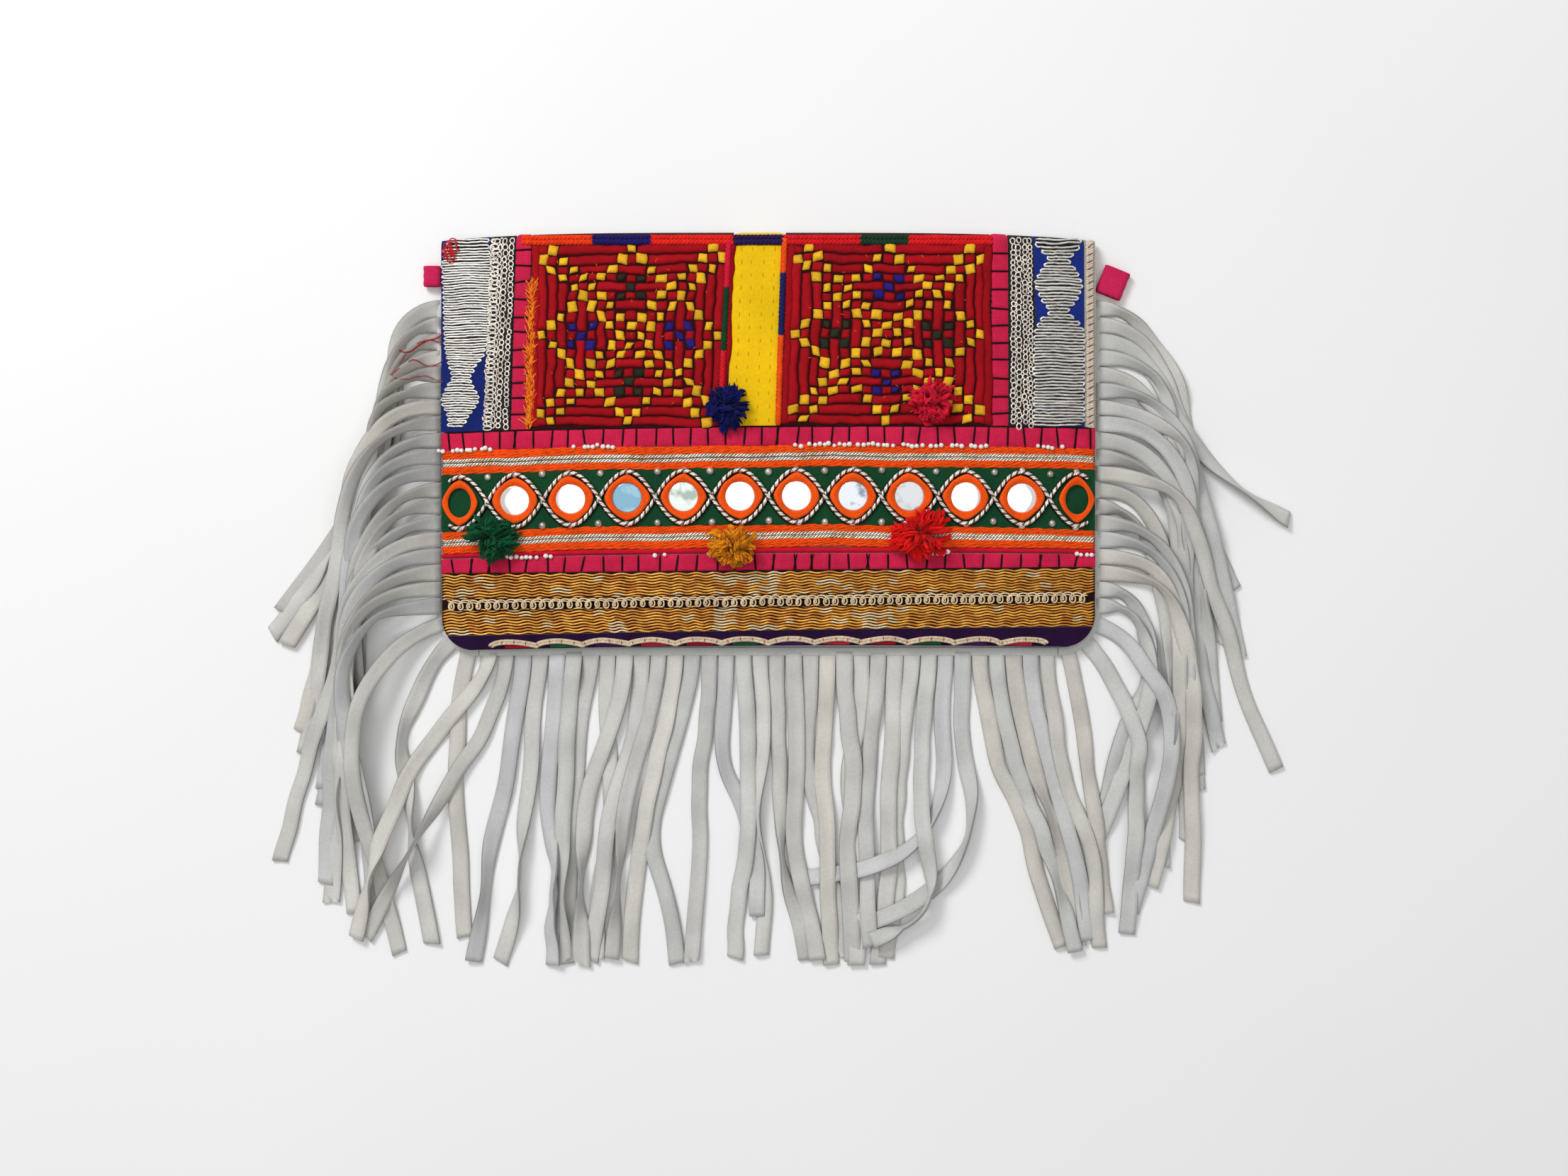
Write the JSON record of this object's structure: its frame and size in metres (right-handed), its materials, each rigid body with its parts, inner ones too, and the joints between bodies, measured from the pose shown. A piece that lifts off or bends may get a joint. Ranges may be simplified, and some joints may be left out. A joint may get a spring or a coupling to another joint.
{
  "type": "embroidered fold-over pouch",
  "caption": "Flat fold-over pouch of pale suede with an embroidered patchwork flap, yarn pompoms, ribbon loops and a strip fringe on three sides.",
  "frame": {"origin": "middle of the back's flat rest face, under the middle of the closed flap", "axes": "+X along the fold to the right as the flap is seen, +Y from the fringed lower edge towards the fold, +Z out of the flap"},
  "size_m": [0.4413, 0.3144, 0.0268],
  "materials": {
    "suede": "napped suede",
    "navy_cloth": "plain woven cotton",
    "pink_cloth": "plain woven cotton",
    "red_embroidery": "satin stitched cords",
    "yellow_felt": "felt",
    "orange_yarn": "twisted yarn",
    "green_cloth": "plain woven cotton",
    "crimson_cloth": "plain woven cotton",
    "purple_cloth": "plain woven cotton",
    "beige_braid": "braided cord",
    "silver_wire": "tarnished silver wire",
    "gold_thread": "worn gold thread",
    "mirror": "aged mirror glass",
    "navy_yarn": "loose yarn",
    "pink_yarn": "loose yarn",
    "green_yarn": "loose yarn",
    "mustard_yarn": "loose yarn",
    "red_yarn": "loose yarn"
  },
  "bodies": {
    "root": {"pouch_body": "suede", "flap_base": "suede", "left_fringe": "suede", "bottom_fringe": "suede", "right_fringe": "suede", "left_zari_panel": "navy_cloth", "right_zari_panel": "navy_cloth", "left_chain_braid": "silver_wire", "right_chain_braid": "silver_wire", "left_pink_binding": "pink_cloth", "right_pink_binding": "pink_cloth", "upper_pink_binding": "pink_cloth", "lower_pink_binding": "pink_cloth", "left_embroidered_block": "red_embroidery", "right_embroidered_block": "red_embroidery", "centre_yellow_strip": "yellow_felt", "right_edge_braid": "beige_braid", "orange_cord_1": "orange_yarn", "orange_cord_2": "orange_yarn", "orange_cord_3": "orange_yarn", "orange_cord_4": "orange_yarn", "silver_braid_1": "silver_wire", "silver_braid_2": "silver_wire", "crimson_piping": "crimson_cloth", "mirror_band": "green_cloth", "diamond_braid": "silver_wire", "gold_band": "gold_thread", "loop_chain": "beige_braid", "purple_hem": "purple_cloth", "scalloped_braid": "beige_braid", "ring_01": "orange_yarn", "ring_02": "orange_yarn", "ring_03": "orange_yarn", "ring_04": "orange_yarn", "ring_05": "orange_yarn", "ring_06": "orange_yarn", "ring_07": "orange_yarn", "ring_08": "orange_yarn", "ring_09": "orange_yarn", "ring_10": "orange_yarn", "ring_11": "orange_yarn", "ring_12": "orange_yarn", "mirror_01": "mirror", "mirror_02": "mirror", "mirror_03": "mirror", "mirror_04": "mirror", "mirror_05": "mirror", "mirror_06": "mirror", "mirror_07": "mirror", "mirror_08": "mirror", "mirror_09": "mirror", "mirror_10": "mirror", "navy_pompom": "navy_yarn", "pink_pompom": "pink_yarn", "green_pompom": "green_yarn", "mustard_pompom": "mustard_yarn", "red_pompom": "red_yarn", "left_ribbon_loop": "pink_cloth", "right_ribbon_loop": "pink_cloth"}
  },
  "joints": []
}
